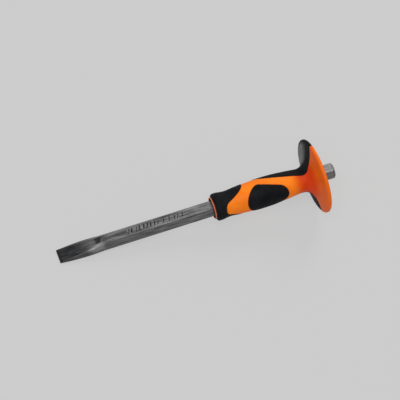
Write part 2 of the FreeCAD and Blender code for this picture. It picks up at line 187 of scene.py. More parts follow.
def rounded_corner(before, corner, after, rounding):
    """Where the rounding of a corner starts, the points on it, and where it ends."""
    to_before, to_after = before - corner, after - corner
    room = min(np.linalg.norm(to_before), np.linalg.norm(to_after))
    to_before = to_before / np.linalg.norm(to_before)
    to_after = to_after / np.linalg.norm(to_after)
    half = math.acos(float(np.clip(to_before @ to_after, -1, 1))) / 2
    cut = min(rounding / math.tan(half), 0.45 * room)
    radius = cut * math.tan(half)
    inward = (to_before + to_after) / np.linalg.norm(to_before + to_after)
    middle = corner + inward * (radius / math.sin(half))
    start, end = corner + to_before * cut, corner + to_after * cut
    first = math.atan2(*(start - middle)[::-1])
    turn = math.atan2(*(end - middle)[::-1]) - first
    turn = (turn + math.pi) % (2 * math.pi) - math.pi
    angles = first + turn * np.linspace(0, 1, CORNER_POINTS)
    arc = [middle + radius * np.array((math.cos(angle), math.sin(angle))) for angle in angles]
    return start, arc, end


def bar_ring(along):
    """Points round the bar, from one side corner, with more of them across the stamped face."""
    wide, flat, thick = bar_section(along)
    rounding = float(np.interp(along, ROUNDING_AT, ROUNDING))
    corners = np.array([(wide, 0), (flat, thick), (-flat, thick),
                        (-wide, 0), (-flat, -thick), (flat, -thick)], float)
    count = len(corners)
    rounded = [rounded_corner(corners[k - 1], corners[k], corners[(k + 1) % count], rounding)
               for k in range(count)]
    points = []
    for k, (_, arc, end) in enumerate(rounded):
        points.extend(arc)
        next_start = rounded[(k + 1) % count][0]
        columns = STAMPED_COLUMNS if k == 1 else PLAIN_COLUMNS
        for share in np.linspace(0, 1, columns + 2)[1:-1]:
            points.append(end * (1 - share) + next_start * share)
    return np.array(points)


STAMP_START, STAMP_END = 77.0, 138.0
STAMP_DEPTH = 0.35
STAMP_SIDE = 0.4
STAMP_SLANT = 0.3
STAMP_WALL = 0.35
STAMP_END_WALL = 0.4


def stamp_depth(along, side):
    """A row of plain parallel strokes pressed into the broad facet."""
    depth = np.zeros(np.broadcast(along, side).shape)
    rng = np.random.default_rng(11)
    place = STAMP_START
    while place < STAMP_END:
        width = rng.uniform(0.55, 0.95)
        reach = rng.uniform(2.3, 3.1)
        centre = STAMP_SIDE + rng.uniform(-0.4, 0.4)
        off = np.abs(along - place - STAMP_SLANT * (side - centre))
        inside = smooth_step((width - off) / STAMP_WALL + 0.3) \
            * smooth_step((reach - np.abs(side - centre)) / STAMP_END_WALL)
        depth = np.maximum(depth, inside * rng.uniform(0.7, 1.0))
        place += rng.uniform(3.0, 6.2)
    return depth * STAMP_DEPTH


def bar_rows():
    """Places of the bar's rings: close together at the ends, on the blade and at the strokes."""
    return np.concatenate([
        np.linspace(0, 2.6, 6), np.linspace(2.75, 53, 76), np.linspace(53.6, 76, 14),
        np.linspace(77, 139.5, 250), np.linspace(141, 170, 12), np.linspace(176, 284, 10),
        np.linspace(288, LENGTH - 4, 9), np.linspace(LENGTH - 3.7, LENGTH, 26)])


def bar_tints(rows, along, side, broad, top):
    """Where the bar has painted highlights, and where it is darker, partly as painted shade."""
    sections = np.array([bar_section(place) for place in rows])
    wide, flat = sections[:, :1], sections[:, 1:2]
    # flank is 0 at the edge of a broad face and 1 at the side corner, and negative on the face.
    flank = (np.abs(side) - flat) / (wide - flat)
    on_flank = smooth_step((flank + 0.1) / 0.2)

    # A painted highlight lies on one side of each face, where the run-out meets the full bar.
    highlight_band = np.where(side * broad < 0, smooth_step((flank + 0.95) / 0.5), on_flank * 0.5)
    painted_highlight = highlight_band * (1 - 0.55 * smooth_step((flank + 0.2) / 0.3)
                        - 0.3 * smooth_step((flank - 0.3) / 0.4))
    painted_highlight = painted_highlight * smooth_step((along - 28 - 8 * np.clip(-flank, 0, 1)) / 9)
    painted_highlight = painted_highlight * smooth_step((52 - along) / 7)
    # A painted highlight also lies on the top facet towards the grip.
    painted_highlight = np.maximum(painted_highlight, 0.12 * top * smooth_step((along - 135) / 20))

    # The bar is darker on the blade, just past the run-out and on the chamfer of the struck end, with
    # painted shade in the hollow before the full bar and inside the grip's nose.
    dark_tone_and_shade = smooth_step((44 - along) / 29) * (1 - on_flank)
    dark_tone_and_shade = dark_tone_and_shade + 0.65 * smooth_step((46 - along) / 14) * on_flank
    # Painted shade in the hollow before the full bar.
    hollow = smooth_step((along - 40.2) / 1.8) * smooth_step((49 - along) / 4)
    hollow = hollow * np.maximum(1 - on_flank, 0.7 * smooth_step((flank - 0.5) / 0.3))
    run_in = smooth_step((along - 46) / 4) * smooth_step((62 - along) / 12)
    # Painted shade where the bar goes into the grip's nose.
    near_grip = smooth_step((along - NOSE_FRONT + 1.7) / 1.2) \
        * smooth_step((NOSE_FRONT + RECESS_DEPTH + 2 - along) / 2)
    chamfer = along > LENGTH - END_CHAMFER
    dark_tone_and_shade = np.maximum.reduce([dark_tone_and_shade, 0.9 * hollow, 0.35 * run_in, 0.9 * near_grip, 0.65 * chamfer])
    return painted_highlight, dark_tone_and_shade


def make_bar(material):
    rows = bar_rows()
    rings = np.array([bar_ring(along) for along in rows])
    side, broad = rings[:, :, 0], rings[:, :, 1]
    along = np.repeat(rows[:, None], side.shape[1], 1)
    # The turned chamfer: nothing stands outside its cone.
    cone = END_FACE_RADIUS + (LENGTH - along) * (BAR_CORNER + 1 - END_FACE_RADIUS) / END_CHAMFER
    shrink = np.minimum(1, np.minimum(cone, BAR_CORNER + 5) / np.hypot(side, broad))
    side, broad = side * shrink, broad * shrink
    top = broad > BAR_FLATS / 2 - 0.02
    stamped = np.where(top, stamp_depth(along, side), 0)
    painted_highlight, dark_tone_and_shade = bar_tints(rows, along, side, broad, top)
    broad = broad - stamped
    count = side.shape[1]
    body = tool_point(along, side, broad).reshape(-1, 3)
    faces = grid_faces(len(rows), count)
    # The cutting edge is one face.  The struck face is slightly crowned.
    faces.append(tuple(range(count)))
    last = (len(rows) - 1) * count
    cap = [tool_point(LENGTH + END_CROWN * (1 - share ** 2), side[-1] * share, broad[-1] * share)
           for share in END_RINGS]
    first = len(body)
    middle = first + len(cap) * count
    innermost = middle - count
    faces += grid_faces(len(cap), count, first=first)
    for k in range(count):
        after = (k + 1) % count
        faces.append((last + k, first + k, first + after, last + after))
        faces.append((innermost + k, middle, innermost + after))
    places = np.concatenate([body] + cap + [tool_point(LENGTH + END_CROWN, 0, 0).reshape(1, 3)])
    tints = {"stamped": stamped / STAMP_DEPTH, "painted_highlight": painted_highlight, "dark_tone_and_shade": dark_tone_and_shade}
    return mesh_object("forged_bar", places, faces, material, "chisel_bar", 28,
                       tints)


# ---------------------------------------------------------------- the grip's surface

# The hard nose ring, the neck behind it, and the recess in it that the bar comes out of.
COLLAR_FRONT = 171.4
NOSE_FRONT = 169.3
NOSE_RADIUS = 11.8
NECK_RADIUS = 10.7
RECESS_RADIUS = 10.6
RECESS_DEPTH = 8.0
LIP_LENGTH = 1.15
# The collar's seat, and the guard.
SEAT_START = 176.5
RIM_START = (281.9, 38.9)
RIM_THICKNESS = 4.0
GUARD_RADIUS = 40.5
HUB_BACK = 290.7
LEAN = math.radians(3.4)
LEAN_START, LEAN_REACH = 265, 12
# The outline of the grip: along, radius.
OUTLINE = np.array([
    (COLLAR_FRONT, 14.3), (176, 14.4), (184.5, 13.35), (194, 13.95), (204, 14.8), (216, 15.5),
    (227, 15.6), (238, 15.3), (250.4, 14.3), (260.8, 13.2), (267.4, 12.7), (271.9, 13.9),
    (275.1, 16.6), (277.7, 20.8), (279.6, 26), (280.9, 32), RIM_START,
])


def sleeve_profile():
    """Fine samples of the outline from the collar's front, over the rim, to the back of the rim."""
    knots = np.concatenate([[0], np.cumsum(np.hypot(*np.diff(OUTLINE, axis=0).T))])
    fine = np.linspace(0, knots[-1], 700)
    along = spline(knots, OUTLINE[:, 0], fine)
    radius = spline(knots, OUTLINE[:, 1], fine)
    bulge = GUARD_RADIUS - RIM_START[1]
    rounding = (bulge ** 2 + (RIM_THICKNESS / 2) ** 2) / (2 * bulge)
    centre = (RIM_START[0] + RIM_THICKNESS / 2, GUARD_RADIUS - rounding)
    first = math.atan2(RIM_START[1] - centre[1], RIM_START[0] - centre[0])
    turn = np.linspace(first, math.pi - first, 60)[1:]
    along = np.concatenate([along, centre[0] + rounding * np.cos(turn)])
    radius = np.concatenate([radius, centre[1] + rounding * np.sin(turn)])
    return along, radius


PROFILE_ALONG, PROFILE_RADIUS = sleeve_profile()
PROFILE_STEPS = np.hypot(np.diff(PROFILE_ALONG), np.diff(PROFILE_RADIUS))
PROFILE_RUN = np.concatenate([[0], np.cumsum(PROFILE_STEPS)])
RUN_END = PROFILE_RUN[-1]
SLOPE_ALONG = np.gradient(PROFILE_ALONG, PROFILE_RUN)
SLOPE_RADIUS = np.gradient(PROFILE_RADIUS, PROFILE_RUN)


def run_of(along):
    """Distance along the outline at a place on the sleeve or the front of the guard."""
    front = PROFILE_ALONG <= RIM_START[0]
    return np.interp(along, PROFILE_ALONG[front], PROFILE_RUN[front])


def radius_at(run):
    """Radius of the grip at a run along its outline."""
    return np.interp(run, PROFILE_RUN, PROFILE_RADIUS)


def grip_point(run, turn, height=0.0):
    """Places on the grip: run along its outline, turn, and height off the surface."""
    run, turn, height = np.broadcast_arrays(np.asarray(run, float), turn, height)
    along = np.interp(run, PROFILE_RUN, PROFILE_ALONG)
    radius = np.interp(run, PROFILE_RUN, PROFILE_RADIUS)
    tilt_along = np.interp(run, PROFILE_RUN, SLOPE_ALONG)
    tilt_radius = np.interp(run, PROFILE_RUN, SLOPE_RADIUS)
    size = np.hypot(tilt_along, tilt_radius)
    along = along - height * tilt_radius / size
    radius = radius + height * tilt_along / size
    return round_point(along, radius, turn)


def round_point(along, radius, turn):
    """Places on a body of revolution that leans with the guard."""
    share = smooth_step((np.asarray(along) - LEAN_START) / LEAN_REACH)
    along = along + radius * np.cos(turn) * math.sin(LEAN) * share
    return tool_point(along, radius * np.sin(turn), radius * np.cos(turn), ACROSS, FINGER)


# ---------------------------------------------------------------- outlines of the soft parts

# Degrees from the finger side, and where the collar ends there.
COLLAR_END = np.array([
    (-20, 182.5), (0, 181.6), (20, 182.5), (33, 184.7), (40, 187.2), (47, 190.6), (56, 194.6),
    (68, 198.9), (85, 202.9), (120, 205.4), (180, 206.2), (240, 205.4),
])
TONGUE_SKEW = 7


def whole_turn(turn):
    """A turn brought between half a turn back and half a turn on."""
    return (np.asarray(turn) + math.pi) % (2 * math.pi) - math.pi


def collar_end(turn):
    """Where the collar ends: it leaves a tongue of the hard core on the finger side."""
    degrees = np.degrees(whole_turn(turn))
    # The tongue is a little narrower on one side.
    skew = smooth_step((-degrees - 15) / 20) * smooth_step((80 + degrees) / 30)
    return spline(COLLAR_END[:, 0], COLLAR_END[:, 1], np.abs(degrees) + TONGUE_SKEW * skew)


OVAL_FRONT, OVAL_FRONT_RADIUS = 219.8, 14.8
OVAL_REAR, OVAL_REAR_RADIUS = 239.7, 10.5


def oval_outline(count):
    """Egg of two arcs and their tangents, as run and turn, evenly spaced."""
    lift = math.asin((OVAL_FRONT_RADIUS - OVAL_REAR_RADIUS) / (OVAL_REAR - OVAL_FRONT))
    front = np.linspace(math.pi / 2 - lift, 3 * math.pi / 2 + lift, 300)
    rear = np.linspace(-math.pi / 2 + lift, math.pi / 2 - lift, 200)
    along = np.concatenate([OVAL_FRONT + OVAL_FRONT_RADIUS * np.cos(front),
                            OVAL_REAR + OVAL_REAR_RADIUS * np.cos(rear)])
    side = np.concatenate([OVAL_FRONT_RADIUS * np.sin(front), OVAL_REAR_RADIUS * np.sin(rear)])
    along, side = np.append(along, along[0]), np.append(side, side[0])
    run = run_of(along)
    turn = np.arcsin(side / radius_at(run))
    return even_loop(run, turn, count)


def even_loop(run, turn, count):
    """Resample a closed outline evenly by its length on the surface."""
    step = np.hypot(np.diff(run), np.diff(turn) * (radius_at(run[1:]) + radius_at(run[:-1])) / 2)
    length = np.concatenate([[0], np.cumsum(step)])
    where = np.linspace(0, length[-1], count, endpoint=False)
    return np.interp(where, length, run), np.interp(where, length, turn)


FAR_WRAP = math.radians(9.5)
FAR_WRAP_START, FAR_WRAP_REACH = 270, 8


def far_wrap(run):
    """How much further round the soft half of the guard reaches on one side."""
    return FAR_WRAP * smooth_step((run - run_of(FAR_WRAP_START)) / FAR_WRAP_REACH)


BACK_TIP = 213.3
BACK_REAR_RUN = RUN_END - 0.2
BACK_REAR_DEGREES = 85
BACK_EDGE = [  # along, degrees from the finger side
    (213.8, 165), (215.1, 151), (217.1, 136), (220, 120.5), (225, 105), (231.5, 93),
    (241.7, 81.5), (255, 69.5), (264, 61), (270.4, 55), (273.5, 59), (276.1, 70),
    (278.5, 76.5), (280.3, 80.5), (281.8, 84),
]


def back_outline():
    """One side of the back pad's outline, from its front tip to the back of the rim."""
    along = np.array([BACK_TIP] + [a for a, _ in BACK_EDGE])
    degrees = np.array([180] + [d for _, d in BACK_EDGE])
    run = np.append(run_of(along), [RUN_END - 3.5, BACK_REAR_RUN])
    turn = np.radians(np.append(degrees, [BACK_REAR_DEGREES, BACK_REAR_DEGREES]))
    step = np.hypot(np.diff(run), np.diff(turn) * radius_at(run[1:]))
    knots = np.concatenate([[0], np.cumsum(step)])
    fine = np.linspace(0, knots[-1], 500)
    return spline(knots, run, fine), spline(knots, turn, fine)


NEAREST_BATCH = 40


def nearest(run, turn, line_run, line_turn):
    """Distance on the surface from places to an outline's nearest point."""
    run, turn = np.asarray(run, float), np.asarray(turn, float)
    shape = run.shape
    run, turn = run.ravel(), turn.ravel()
    best = np.full(run.shape, np.inf)
    radius = radius_at(run)
    for start in range(0, len(line_run), NEAREST_BATCH):
        piece = slice(start, start + NEAREST_BATCH)
        off = np.abs(turn[:, None] - line_turn[None, piece])
        off = np.minimum(off, 2 * math.pi - off)
        apart = np.hypot(run[:, None] - line_run[None, piece], radius[:, None] * off)
        best = np.minimum(best, apart.min(axis=1))
    return best.reshape(shape)


OVAL_RUN, OVAL_TURN = oval_outline(360)
# The back pad's outline: one side, across the rear, and back along the far side.
SIDE_RUN, SIDE_TURN = back_outline()
FAR_TURN = 2 * math.pi - SIDE_TURN + far_wrap(SIDE_RUN)
REAR_TURN = np.linspace(SIDE_TURN[-1], FAR_TURN[-1], 260)
BACK_RUN = np.concatenate([SIDE_RUN, np.full(len(REAR_TURN), BACK_REAR_RUN), SIDE_RUN[::-1]])
BACK_TURN = np.concatenate([SIDE_TURN, REAR_TURN, FAR_TURN[::-1]])
COLLAR_TURN = np.linspace(-math.pi, math.pi, 720, endpoint=False)
COLLAR_RUN = run_of(collar_end(COLLAR_TURN))


def pad_depths(run, turn):
    """Distance inside the nearest soft part; negative on the hard core."""
    turn = whole_turn(turn)
    from_collar = nearest(run, turn, COLLAR_RUN, COLLAR_TURN)
    in_collar = run < run_of(collar_end(turn))
    from_oval = nearest(run, turn, OVAL_RUN, OVAL_TURN)
    along = np.interp(run, PROFILE_RUN, PROFILE_ALONG)
    side = radius_at(run) * np.sin(turn)
    in_oval = (np.abs(turn) < math.pi / 2) & (egg_distance(along, side) < 0) & (run < RUN_END - 20)
    from_back = nearest(run, turn, BACK_RUN, BACK_TURN)
    half = np.interp(run, SIDE_RUN, SIDE_TURN, left=math.pi)
    in_back = ((turn > half) | (-turn > half - far_wrap(run))) & (run < BACK_REAR_RUN)
    signed = [np.where(inside, far, -far) for inside, far in
              ((in_collar, from_collar), (in_oval, from_oval), (in_back, from_back))]
    return np.maximum.reduce(signed)


def egg_distance(along, side):
    """Signed distance to the finger pad's outline seen from the finger side."""
    spread = OVAL_REAR - OVAL_FRONT
    sine = (OVAL_FRONT_RADIUS - OVAL_REAR_RADIUS) / spread
    cosine = math.sqrt(1 - sine * sine)
    x, y = along - OVAL_FRONT, np.abs(side)
    across = -sine * y + cosine * x
    front = np.hypot(x, y) - OVAL_FRONT_RADIUS
    rear = np.hypot(x - spread, y) - OVAL_REAR_RADIUS
    flank = x * sine + y * cosine - OVAL_FRONT_RADIUS
    return np.where(across < 0, front, np.where(across > cosine * spread, rear, flank))


# A soft part's edge starts a little below the hard surface, rises in a round edge to its top, and
# goes down to its bottom inside.
PAD_START = -0.15
PAD_RISE = 0.35
PAD_ROUNDING = 0.85
PAD_DEPTH = 1.75
PAD_WALL = 1.6
# Distances inside a soft part's outline at which its mesh has lines.
EDGE_STEPS = (0.0, 0.05, 0.14, 0.28, 0.46, 0.68, 0.95, 1.3, 1.75)


def pad_top(depth, rise=PAD_RISE):
    """Height of a soft part above the hard surface at a distance inside its edge."""
    share = 1 - np.clip(depth / PAD_ROUNDING, 0, 1)
    return PAD_START + (rise - PAD_START) * np.sqrt(np.clip(1 - share ** 2, 0, 1))


def pad_bottom(depth):
    """Height of a soft part's underside at a distance inside its edge."""
    return PAD_START - (PAD_DEPTH + PAD_START) * smooth_step(depth / PAD_WALL)


def core_height(depth):
    """Height of the hard surface: a low lip and a groove beside each soft part, a pocket under it."""
    lip = 0.16 * np.exp(-((depth + 0.75) / 0.4) ** 2)
    groove = -0.16 * np.exp(-(depth / 0.3) ** 2)
    pocket = pad_bottom(np.maximum(depth, 0)) - PAD_START - 0.06 * smooth_step(depth / 0.5)
    return np.where(depth < 0, lip, 0) + groove + np.where(depth > 0, pocket, 0)


# ---------------------------------------------------------------- the hard core

SEAM_WIDTH = 0.45
BACK_CONE_RISE = 3.6
HUB_EDGE_RADIUS = 17.5
HUB_RINGS = ((0.8, 16.2), (0.35, 14.6), (0.1, 12.8), (0.0, 11.0), (0.0, 10.0))


def hexagon_radius(turn):
    """Radius of the bar's hexagon, which the core's hole fits."""
    sixth = math.pi / 3
    return BAR_FLATS / 2 / np.cos((turn + sixth / 2) % sixth - sixth / 2)


def make_core(material, columns=264):
    turn = np.linspace(0, 2 * math.pi, columns, endpoint=False)
    rows = []

    def ring(along, radius):
        along = np.full(columns, float(along))
        rows.append(round_point(along, np.broadcast_to(radius, columns), turn))

    # The floor and wall of the recess, then the rolled lip of the nose ring and the neck.
    hexagon = hexagon_radius(turn)
    floor = NOSE_FRONT + RECESS_DEPTH
    ring(floor, hexagon)
    ring(floor, hexagon * 0.3 + RECESS_RADIUS * 0.7)
    ring(floor, RECESS_RADIUS)
    for along in np.linspace(floor - 0.5, NOSE_FRONT + 0.4, 8):
        ring(along, RECESS_RADIUS)
    lip = (NOSE_RADIUS - RECESS_RADIUS) / 2
    middle = (NOSE_RADIUS + RECESS_RADIUS) / 2
    for angle in np.linspace(math.pi, 0, 11):
        ring(NOSE_FRONT + lip - lip * math.sin(angle), middle + lip * math.cos(angle))
    lip_first, lip_last = len(rows) - 7, len(rows) + 1
    lip_back = NOSE_FRONT + LIP_LENGTH
    for along, radius in ((lip_back - 0.1, NOSE_RADIUS), (lip_back, NOSE_RADIUS - 0.1),
                          (lip_back + 0.05, NECK_RADIUS + 0.1), (lip_back + 0.15, NECK_RADIUS),
                          (COLLAR_FRONT - 0.1, NECK_RADIUS),
                          (COLLAR_FRONT + 0.1, NECK_RADIUS + 0.1), (COLLAR_FRONT + 0.3, NOSE_RADIUS),
                          (174, NOSE_RADIUS), (SEAT_START - 0.2, NOSE_RADIUS),
                          (SEAT_START, NOSE_RADIUS + 0.1)):
        ring(along, radius)
    sleeve_end = run_of(262)
    guard_end = run_of(RIM_START[0])
    runs = np.concatenate([
        np.arange(run_of(SEAT_START), sleeve_end, 0.5),
        np.arange(sleeve_end, guard_end, 0.6),
        np.linspace(guard_end, RUN_END, 16)])
    grid_run, grid_turn = np.meshgrid(runs, turn, indexing="ij")
    depth = pad_depths(grid_run, grid_turn)
    first = len(rows)
    rows.extend(grip_point(grid_run, grid_turn, core_height(depth)))
    # The back: a shallow cone, a hub and the hexagonal hole.
    cone = RIM_START[0] + RIM_THICKNESS
    for share in np.linspace(0.04, 1, 22):
        ring(cone + BACK_CONE_RISE * share ** 1.25,
             RIM_START[1] + (HUB_EDGE_RADIUS - RIM_START[1]) * share)
    for drop, radius in HUB_RINGS:
        ring(HUB_BACK - drop, radius)
    ring(HUB_BACK - 0.05, hexagon + 0.45)
    ring(HUB_BACK - 0.5, hexagon)
    places = np.concatenate(rows)
    faces = grid_faces(len(rows), columns, close_rows=True)
    # Tints: painted shade on the guard's front, painted shade in the nose with darker lines along the soft
    # parts' edges, and a painted highlight on the rolled lip.
    painted_shade, shade_and_seam, painted_lip_highlight = np.zeros((3, len(rows), columns))
    sleeve = slice(first, first + len(runs))
    # Painted shade on the guard's front, weaker further out and on the rim.
    inward = 1 - 0.42 * smooth_step((radius_at(grid_run) - 17) / 11)
    before_rim = 0.75 + 0.25 * smooth_step((guard_end + 3.5 - grid_run) / 4)
    painted_shade[sleeve] = smooth_step((grid_run - run_of(254)) / 15) * inward * before_rim
    # Painted shade over the nose's recess, neck and seat, but not its lip.
    shade_and_seam[:first] = 1.1
    shade_and_seam[lip_first:lip_last] = 0
    # Darker lines along the soft parts' edges.
    shade_and_seam[sleeve] = np.exp(-(depth / SEAM_WIDTH) ** 2)
    # Painted highlight on the rolled lip.
    painted_lip_highlight[lip_first:lip_last] = 1
    return mesh_object("grip_shell", places, faces, material, "grip_core", 50,
                       {"painted_shade": painted_shade, "shade_and_seam": shade_and_seam, "lip": painted_lip_highlight})


# ---------------------------------------------------------------- the soft parts

OVAL_MIDDLE = 227.5
OVAL_CROWN = 0.3


def make_oval(material):
    """The finger pad: rings that shrink from its outline to its middle, above and below."""
    count = len(OVAL_RUN)
    middle = run_of(OVAL_MIDDLE)
    reach = np.hypot(OVAL_RUN - middle, OVAL_TURN * radius_at((OVAL_RUN + middle) / 2))
    shares = [1 - step / reach for step in EDGE_STEPS]
    shares += [shares[-1] * q for q in np.linspace(1, 0, 26)[1:-1]]
    top, bottom = [], []
    for share in shares:
        run = middle + share * (OVAL_RUN - middle)
        turn = share * OVAL_TURN
        depth = nearest(run, turn, OVAL_RUN, OVAL_TURN)
        crown = OVAL_CROWN * smooth_step((depth - 1.5) / 8)
        top.append(grip_point(run, turn, pad_top(depth) + crown))
        bottom.append(grip_point(run, turn, pad_bottom(depth)))
    bottom = bottom[1:]
    centre = [grip_point([middle], [0.0], [PAD_RISE + OVAL_CROWN]),
              grip_point([middle], [0.0], [-PAD_DEPTH])]
    places = np.concatenate(top + bottom + centre)
    faces = grid_faces(len(top), count)
    first = len(top) * count
    faces += [(first + k, k, (k + 1) % count, first + (k + 1) % count) for k in range(count)]
    faces += [face[::-1] for face in grid_faces(len(bottom), count, first=first)]
    last_top = (len(top) - 1) * count
    last_bottom = first + (len(bottom) - 1) * count
    peak = first + len(bottom) * count
    for k in range(count):
        after = (k + 1) % count
        faces.append((last_top + k, peak, last_top + after))
        faces.append((last_bottom + after, peak + 1, last_bottom + k))
    return mesh_object("soft_finger_pad", places, faces, material, "finger_pad", 60)


COLLAR_ROUNDING = 1.9
COLLAR_CLEARANCE = 0.03


def make_collar(material, columns=420):
    """The front collar: rings from its bore over its front and top to its back edge, and underneath."""
    turn = np.linspace(-math.pi, math.pi, columns, endpoint=False)
    end = run_of(collar_end(turn))
    slant = np.gradient(end, turn) / radius_at(end)
    stretch = np.minimum(np.sqrt(1 + slant ** 2), 3.0)
    start = run_of(176.0)
    rows = []
    # Front face and rounded front edge.
    inner = NOSE_RADIUS + COLLAR_CLEARANCE
    crest = OUTLINE[0, 1] + PAD_RISE
    for radius in np.linspace(inner, crest - COLLAR_ROUNDING, 5):
        rows.append(round_point(np.full(columns, COLLAR_FRONT), radius, turn))
    for angle in np.linspace(0, math.pi / 2, 10)[1:]:
        along = COLLAR_FRONT + COLLAR_ROUNDING * (1 - math.cos(angle))
        radius = crest - COLLAR_ROUNDING * (1 - math.sin(angle))
        rows.append(round_point(np.full(columns, along), radius, turn))
    body = end - start - EDGE_STEPS[-1] * stretch
    for share in np.linspace(0, 1, 34)[:-1]:
        run = start + 0.3 + (body - 0.3) * share
        depth = np.minimum(nearest(run, turn, COLLAR_RUN, COLLAR_TURN), 3)
        rows.append(grip_point(run, turn, pad_top(depth)))
    for step in EDGE_STEPS[::-1]:
        run = end - step * stretch
        depth = nearest(run, turn, COLLAR_RUN, COLLAR_TURN) if step else np.zeros(columns)
        rows.append(grip_point(run, turn, pad_top(depth)))
    for step in EDGE_STEPS[1:]:
        run = end - step * stretch
        rows.append(grip_point(run, turn, pad_bottom(nearest(run, turn, COLLAR_RUN, COLLAR_TURN))))
    seat = run_of(SEAT_START + 0.4)
    for share in np.linspace(1, 0, 12)[1:]:
        run = seat + (end - EDGE_STEPS[-1] * stretch - seat) * share
        rows.append(grip_point(run, turn, -PAD_DEPTH))
    rows.append(round_point(np.full(columns, SEAT_START + 0.05), inner, turn))
    places = np.concatenate(rows)
    faces = grid_faces(len(rows), columns, close_rows=True)
    return mesh_object("soft_collar", places, faces, material, "front_collar", 60)


BACK_COLUMNS = 44


def make_back(material):
    """The back pad: a sheet that starts in a blunt tip, widens and wraps over the guard's rim."""
    total = len(SIDE_RUN)
    picks = np.unique(np.concatenate([
        np.round(np.linspace(0.004, 0.10, 16) * total),
        np.linspace(0.11, 0.965, 130) * total,
        np.linspace(0.968, 1, 14) * (total - 1)]).astype(int))
    run_rows, turn_edge = SIDE_RUN[picks], SIDE_TURN[picks]
    shift = far_wrap(run_rows) / 2
    half = math.pi - turn_edge + shift
    widths = half * radius_at(run_rows)
    slant = np.gradient(widths, run_rows)
    stretch = np.minimum(np.sqrt(1 + slant ** 2), 3.5)
    shares = []
    for width, pull in zip(widths, stretch):
        steps = np.array(EDGE_STEPS) * pull
        steps = steps * min(1, 0.6 * width / steps[-1])
        flank = 1 - steps / width
        middle = np.linspace(-flank[-1], flank[-1], BACK_COLUMNS)[1:-1]
        shares.append(np.concatenate([-flank, middle, flank[::-1]]))
    shares = np.array(shares)
    turn = math.pi + shift[:, None] + shares * half[:, None]
    run = np.repeat(run_rows[:, None], turn.shape[1], 1)
    depth = nearest(run, turn, BACK_RUN, BACK_TURN)
    depth[:, 0] = depth[:, -1] = 0
    depth[-1, :] = 0
    rim_run = run_of(RIM_START[0])
    # The middle of the guard's soft front gets a painted grey sheen.
    degrees = np.degrees(turn)
    before_rim = smooth_step((rim_run + 1 - run) / 5)
    painted_sheen = smooth_step((degrees - 97) / 34) * smooth_step((236 - degrees) / 34)
    painted_sheen = painted_sheen * smooth_step((run - run_of(272)) / 8) * before_rim
    # The pad stands proud up to the rim, and is flush round it.
    top = grip_point(run, turn, pad_top(depth, PAD_RISE * before_rim))
    bottom = grip_point(run, turn, pad_bottom(depth))
    rows, columns = turn.shape
    tip = grip_point([SIDE_RUN[0]], [math.pi], [PAD_START])
    # The border of the sheet is shared, so the bottom keeps only its inner points.
    places = [top.reshape(-1, 3), bottom[:-1, 1:-1].reshape(-1, 3), tip]
    bottom_first = rows * columns
    inner_columns = columns - 2

    def low(row, column):
        """Number of a point of the bottom."""
        if row == rows - 1 or column in (0, columns - 1):
            return row * columns + column
        return bottom_first + row * inner_columns + column - 1

    faces = [face[::-1] for face in grid_faces(rows, columns, close_columns=False)]
    for row in range(rows - 1):
        for column in range(columns - 1):
            faces.append((low(row, column), low(row + 1, column),
                          low(row + 1, column + 1), low(row, column + 1)))
    peak = bottom_first + (rows - 1) * inner_columns
    for column in range(columns - 1):
        faces.append((peak, column, column + 1))
        faces.append((peak, low(0, column + 1), low(0, column)))
    return mesh_object("soft_back_pad", np.concatenate(places), faces, material,
                       "back_pad", 60, {"painted_sheen": painted_sheen})


# ---------------------------------------------------------------- materials

class Recipe:
    """A node material, written as a short list of steps. Lengths are in millimetres."""

    def __init__(self, name):
        self.material = bpy.data.materials.new(name)
        self.material.use_nodes = True
        self.tree = self.material.node_tree
        self.shader = self.tree.nodes["Principled BSDF"]

    def feed(self, socket, value):
        if isinstance(value, bpy.types.NodeSocket):
            self.tree.links.new(value, socket)
        else:
            socket.default_value = value

    def node(self, kind, *values, **settings):
        """A node whose first inputs take the values in order."""
        node = self.tree.nodes.new("ShaderNode" + kind)
        for key, setting in settings.items():
            setattr(node, key, setting)
        for socket, value in zip(node.inputs, values):
            self.feed(socket, value)
        return node

    def tint(self, name):
        return self.node("Attribute", attribute_name=name).outputs["Fac"]

    def place(self, stretch=(1, 1, 1)):
        """Tool coordinates, shrunk where a pattern is to be drawn out."""
        tool = self.node("Attribute", attribute_name="tool").outputs["Vector"]
        return self.node("VectorMath", tool, stretch, operation="MULTIPLY").outputs["Vector"]

    def noise(self, place, size, detail=3.0, roughness=0.55):
        """Noise between 0 and 1 with features of about a size."""
        node = self.node("TexNoise")
        self.feed(node.inputs["Vector"], place)
        self.feed(node.inputs["Scale"], 1 / size)
        self.feed(node.inputs["Detail"], detail)
        self.feed(node.inputs["Roughness"], roughness)
        return node.outputs["Fac"]

    def step(self, value, low, high, to_low=0.0, to_high=1.0):
        """A smooth change from to_low to to_high while value goes from low to high."""
        node = self.node("MapRange", value, low, high, to_low, to_high, interpolation_type="SMOOTHSTEP")
        return node.outputs["Result"]

    def times(self, first, second):
        return self.node("Math", first, second, operation="MULTIPLY").outputs[0]

    def plus(self, first, second):
        return self.node("Math", first, second, operation="ADD").outputs[0]

    def mix(self, share, first, second):
        """Colours, mixed by share."""
        node = self.node("MixRGB", share, first, second)
        return node.outputs["Color"]

    def bump(self, height, depth):
        """Relief of the given depth."""
        node = self.node("Bump")
        self.feed(node.inputs["Height"], height)
        self.feed(node.inputs["Distance"], depth * MM)
        self.feed(node.inputs["Strength"], 1.0)
        self.feed(self.shader.inputs["Normal"], node.outputs["Normal"])

    def finish(self, colour, roughness, **values):
        self.feed(self.shader.inputs["Base Color"], colour)
        self.feed(self.shader.inputs["Roughness"], roughness)
        for name, value in values.items():
            self.feed(self.shader.inputs[name.replace("_", " ")], value)
        return self.material


